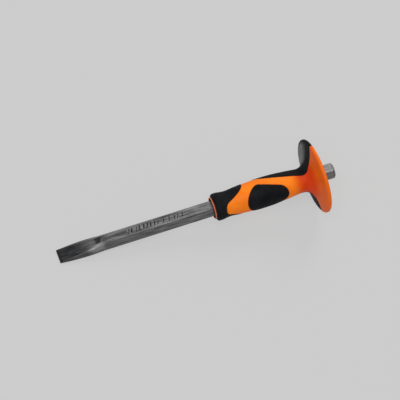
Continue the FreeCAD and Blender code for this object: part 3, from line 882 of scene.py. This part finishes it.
def plastic():
    """Orange moulded plastic with a fine spark texture, painted shade on the guard's front and in the nose,
    darker lines by the soft parts, and a painted highlight on the nose's lip.
    """
    recipe = Recipe("orange_plastic")
    place = recipe.place()
    cloud = recipe.noise(place, 14, 3)
    grain = recipe.noise(place, 0.7, 4, 0.6)
    colour = recipe.mix(recipe.step(cloud, 0.35, 0.65), (0.88, 0.185, 0.006, 1), (0.95, 0.225, 0.01, 1))
    # Painted shade: a deeper red-orange for the guard's front.
    painted_shade = recipe.mix(recipe.step(cloud, 0.35, 0.65), (0.61, 0.042, 0.002, 1), (0.68, 0.054, 0.003, 1))
    colour = recipe.mix(recipe.tint("painted_shade"), colour, painted_shade)
    # Painted highlight: a paler pink on the nose's rolled lip.
    colour = recipe.mix(recipe.times(recipe.tint("lip"), 0.75), colour, (0.55, 0.17, 0.14, 1))
    # Painted shade in the nose, and darker lines along the soft parts' edges.
    shade_and_seam = recipe.times(recipe.tint("shade_and_seam"), recipe.step(recipe.noise(place, 2.5), 0.3, 0.6, 0.7, 1.0))
    colour = recipe.mix(shade_and_seam, colour, (0.09, 0.013, 0.004, 1))
    rub = recipe.noise(recipe.place((0.25, 1, 1)), 1.6, 5, 0.65)
    roughness = recipe.plus(recipe.step(cloud, 0.3, 0.7, 0.44, 0.54), recipe.step(rub, 0.55, 0.75, 0, 0.12))
    recipe.bump(recipe.plus(grain, recipe.times(cloud, 2.0)), 0.03)
    return recipe.finish(colour, roughness, Specular_IOR_Level=0.12)


def rubber():
    """Black soft grip: matt, finely grained, with a painted grey sheen on the guard's front."""
    recipe = Recipe("black_rubber")
    place = recipe.place()
    cloud = recipe.noise(place, 9, 3)
    grain = recipe.noise(place, 0.55, 3, 0.6)
    colour = recipe.mix(recipe.step(cloud, 0.3, 0.7), (0.003, 0.0033, 0.0045, 1), (0.007, 0.0075, 0.009, 1))
    # A streaked painted grey sheen over the middle of the guard's soft front.
    rub = recipe.step(recipe.noise(recipe.place((1, 0.5, 0.5)), 3.2, 6, 0.7), 0.34, 0.62, 0.55, 1.0)
    colour = recipe.mix(recipe.times(recipe.tint("painted_sheen"), rub), colour, (0.25, 0.252, 0.256, 1))
    roughness = recipe.step(recipe.noise(place, 4, 4), 0.3, 0.7, 0.6, 0.72)
    recipe.bump(recipe.plus(grain, recipe.times(cloud, 1.5)), 0.05)
    return recipe.finish(colour, roughness, Specular_IOR_Level=0.1)


def steel():
    """Dark forged and drawn steel: lengthwise streaks, a darker blade, painted shade and painted
    highlights.
    """
    recipe = Recipe("forged_steel")
    place = recipe.place()
    along = recipe.node("SeparateXYZ", place).outputs["X"]
    drawn = recipe.noise(recipe.place((0.05, 1, 1)), 1.3, 6, 0.65)
    cloud = recipe.noise(recipe.place((0.4, 1, 1)), 5, 4, 0.6)
    grit = recipe.noise(place, 0.8, 5, 0.7)
    colour = recipe.mix(recipe.step(drawn, 0.35, 0.68), (0.085, 0.085, 0.088, 1), (0.265, 0.265, 0.269, 1))
    colour = recipe.mix(recipe.step(cloud, 0.5, 0.72, 0, 0.55), colour, (0.1, 0.1, 0.104, 1))
    # A darker blade, run-out and chamfer, and painted shade in the hollow and inside the nose.
    dark_tone_and_shade = recipe.times(recipe.tint("dark_tone_and_shade"), recipe.step(cloud, 0.25, 0.6, 1, 0.8))
    colour = recipe.mix(dark_tone_and_shade, colour, (0.029, 0.03, 0.032, 1))
    # Painted highlights, and the lighter bare steel of the struck end, both streaked.
    highlight_and_bare = recipe.plus(recipe.tint("painted_highlight"), recipe.step(along, 288, 292, 0.0, 0.18))
    highlight_and_bare = recipe.times(highlight_and_bare, recipe.step(drawn, 0.3, 0.6, 0.6, 1))
    colour = recipe.mix(highlight_and_bare, colour, (0.5, 0.49, 0.485, 1))
    # Painted shade in the pressed strokes, darker where they are deeper.
    colour = recipe.mix(recipe.tint("stamped"), colour, (0.03, 0.03, 0.032, 1))
    roughness = recipe.plus(recipe.step(drawn, 0.3, 0.7, 0.34, 0.5), recipe.step(grit, 0.5, 0.8, 0, 0.12))
    recipe.bump(recipe.plus(drawn, recipe.times(grit, 0.5)), 0.06)
    return recipe.finish(colour, roughness, Metallic=0.9)


def floor_material():
    """Pale studio floor that glows a little, so that shadows on it stay faint."""
    recipe = Recipe("pale_floor")
    cloud = recipe.node("TexNoise")
    recipe.feed(cloud.inputs["Scale"], 8.0)
    colour = recipe.mix(cloud.outputs["Fac"], (0.09, 0.09, 0.09, 1), (0.1, 0.1, 0.1, 1))
    return recipe.finish(colour, 0.9, Specular_IOR_Level=0.0,
                         Emission_Color=(1, 1, 1, 1), Emission_Strength=0.5)


# ---------------------------------------------------------------- floor, light and camera

def make_floor():
    mesh = bpy.data.meshes.new("floor")
    reach = 6.0
    mesh.from_pydata([(-reach, -reach, 0), (reach, -reach, 0), (reach, reach, 0), (-reach, reach, 0)],
                     [], [(0, 1, 2, 3)])
    mesh.materials.append(floor_material())
    floor = bpy.data.objects.new("floor", mesh)
    bpy.context.scene.collection.objects.link(floor)


def add_light(name, place, aim, size, power, colour=(1, 1, 1)):
    light = bpy.data.lights.new(name, "AREA")
    light.shape = "DISK"
    light.size = size
    light.energy = power
    light.color = colour
    item = bpy.data.objects.new(name, light)
    item.location = place
    item.rotation_euler = (Vector(aim) - Vector(place)).to_track_quat("-Z", "Y").to_euler()
    bpy.context.scene.collection.objects.link(item)


def make_camera():
    """Looks at the finger side, the blade end a little nearer and the bar climbing to the right."""
    lean_in = math.radians(9.5)
    climb = math.radians(17.47)
    face_turn = math.radians(26)
    toward = math.cos(face_turn) * BROAD - math.sin(face_turn) * SIDE
    above = math.sin(face_turn) * BROAD + math.cos(face_turn) * SIDE
    back = math.cos(lean_in) * toward - math.sin(lean_in) * AXIS
    along = math.cos(lean_in) * AXIS + math.sin(lean_in) * toward
    right = math.cos(climb) * along - math.sin(climb) * above
    up = math.sin(climb) * along + math.cos(climb) * above
    aim_along, aim_above, distance = 159.7, 12.1, 3.0
    aim = EDGE + (AXIS * aim_along + above * aim_above) * MM
    data = bpy.data.cameras.new("camera")
    view_width = 0.4172
    data.sensor_width = 36
    data.lens = 36 * distance / view_width
    data.clip_end = 50
    camera = bpy.data.objects.new("camera", data)
    turn = Matrix((right, up, back)).transposed().to_4x4()
    camera.matrix_world = Matrix.Translation(Vector(aim + back * distance)) @ turn
    bpy.context.scene.collection.objects.link(camera)
    bpy.context.scene.camera = camera


def make_light():
    """A pale room with a darker ceiling, a wide key from above and a low fill from the front."""
    world = bpy.data.worlds.new("studio")
    world.use_nodes = True
    tree = world.node_tree
    direction = tree.nodes.new("ShaderNodeTexCoord")
    height = tree.nodes.new("ShaderNodeSeparateXYZ")
    fade = tree.nodes.new("ShaderNodeMapRange")
    fade.interpolation_type = "SMOOTHSTEP"
    for name, value in (("From Min", 0.05), ("From Max", 0.75), ("To Min", 0.6), ("To Max", 0.22)):
        fade.inputs[name].default_value = value
    tree.links.new(direction.outputs["Generated"], height.inputs["Vector"])
    tree.links.new(height.outputs["Z"], fade.inputs["Value"])
    tree.links.new(fade.outputs["Result"], tree.nodes["Background"].inputs["Strength"])
    tree.nodes["Background"].inputs["Color"].default_value = (1, 1, 1, 1)
    bpy.context.scene.world = world
    add_light("key", (1.5, 1.6, 2.2), (0, 0, 0), 1.6, 46)
    add_light("fill", (-0.75, -0.8, 2.6), (0, 0, 0), 1.6, 46)
    bpy.context.scene.view_settings.view_transform = "Standard"


make_bar(steel())
make_core(plastic())
rubber_material = rubber()
make_oval(rubber_material)
make_collar(rubber_material)
make_back(rubber_material)
make_floor()
make_light()
make_camera()
